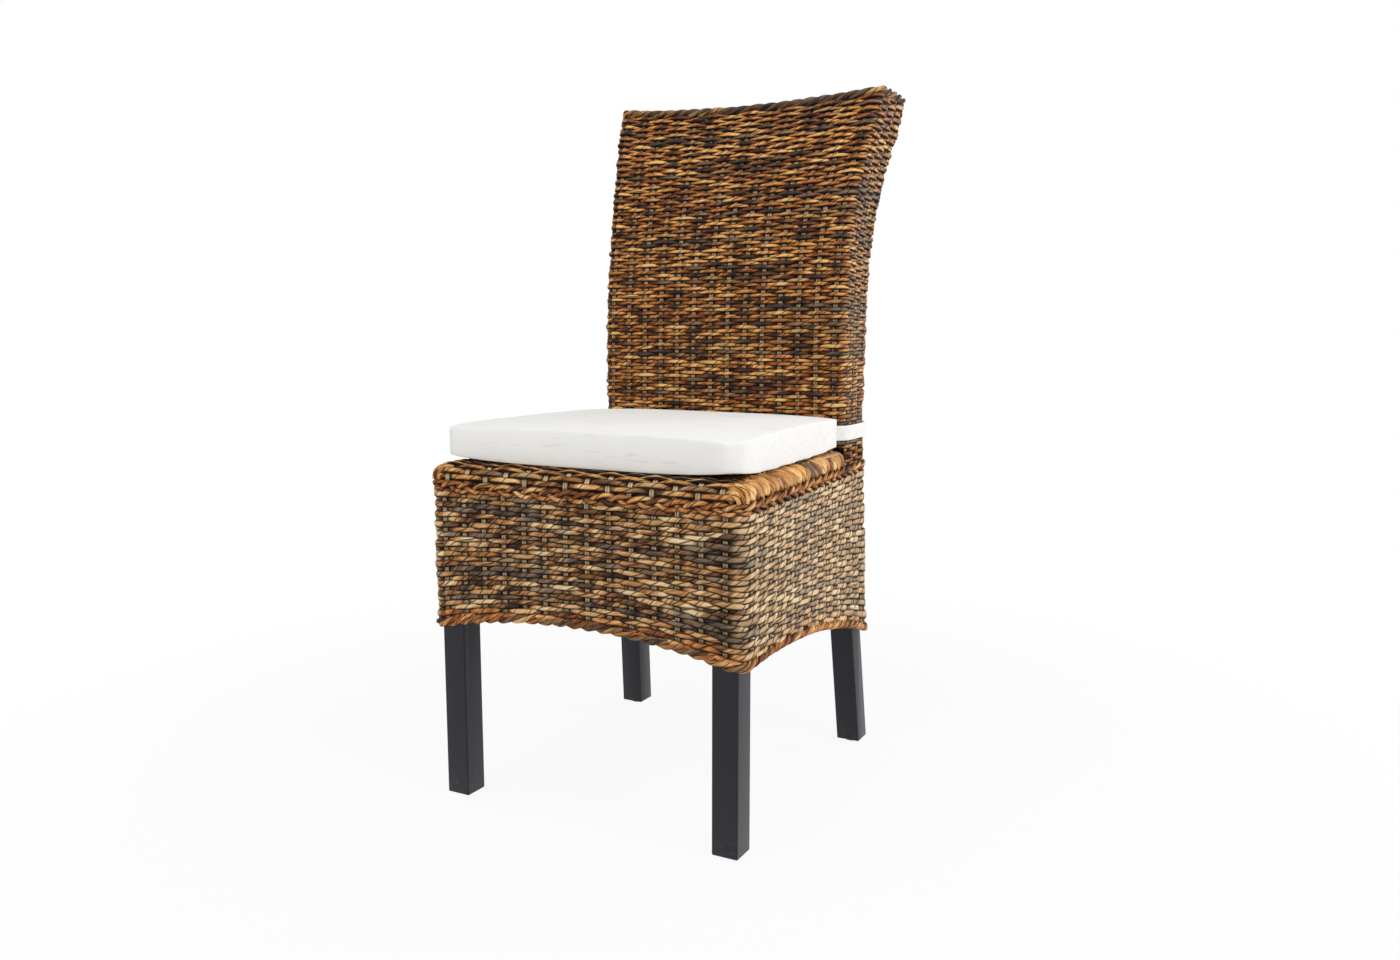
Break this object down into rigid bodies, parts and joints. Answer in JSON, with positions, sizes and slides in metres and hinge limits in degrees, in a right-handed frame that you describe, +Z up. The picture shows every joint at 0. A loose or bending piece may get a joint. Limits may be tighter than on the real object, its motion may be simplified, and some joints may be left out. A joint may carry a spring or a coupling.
{
  "type": "woven dining chair",
  "caption": "High-backed armless dining chair: plant-fibre rope woven over a wood frame on black square legs, arched skirt, flared curved back, strapped loose cushion.",
  "frame": {"origin": "on the floor, under the middle of the chair's outline in plan", "axes": "+Z up, the sitter faces -Y, +X is the sitter's left"},
  "size_m": [0.479, 0.5909, 0.9988],
  "materials": {
    "black_wood": "black stain under satin lacquer",
    "frame_wood": "sawn hardwood, hidden by the weave",
    "rattan": "split rattan strips",
    "back_fibre": "twisted plant-fibre rope, brown to tan",
    "skirt_fibre": "twisted plant-fibre rope, greyer tan",
    "braid_fibre": "braided plant-fibre rope, golden tan",
    "cotton": "plain-woven off-white cotton",
    "foam": "soft foam",
    "hook_and_loop": "hook-and-loop tape",
    "glide_steel": "pressed steel"
  },
  "bodies": {
    "chair": {"front_leg_left": "black_wood", "front_leg_right": "black_wood", "rear_post_left": "black_wood", "rear_post_right": "black_wood", "front_seat_rail": "frame_wood", "rear_seat_rail": "frame_wood", "left_seat_rail": "frame_wood", "right_seat_rail": "frame_wood", "seat_braces": "frame_wood", "corner_blocks": "frame_wood", "back_lower_rail": "frame_wood", "back_middle_rail": "frame_wood", "back_crest_rail": "frame_wood", "skirt_stakes": "rattan", "seat_stakes": "rattan", "back_stakes_front": "rattan", "back_stakes_rear": "rattan", "back_weave": "back_fibre", "back_top_border": "back_fibre", "skirt_weave": "skirt_fibre", "seat_weave": "skirt_fibre", "seat_edge_border": "braid_fibre", "rim_border": "braid_fibre", "strap_left": "cotton", "strap_right": "cotton", "strap_fastener": "hook_and_loop", "foot_glides": "glide_steel"},
    "seat_cushion": {"cushion_cover": "cotton", "cushion_foam": "foam"}
  },
  "joints": [
    {"name": "cushion_tip_up", "type": "hinge", "parent": "chair", "child": "seat_cushion", "pos_m": [0, 0.08352, 0.5014], "axis": [-1, 0, 0], "range_deg": [0, 84]}
  ]
}
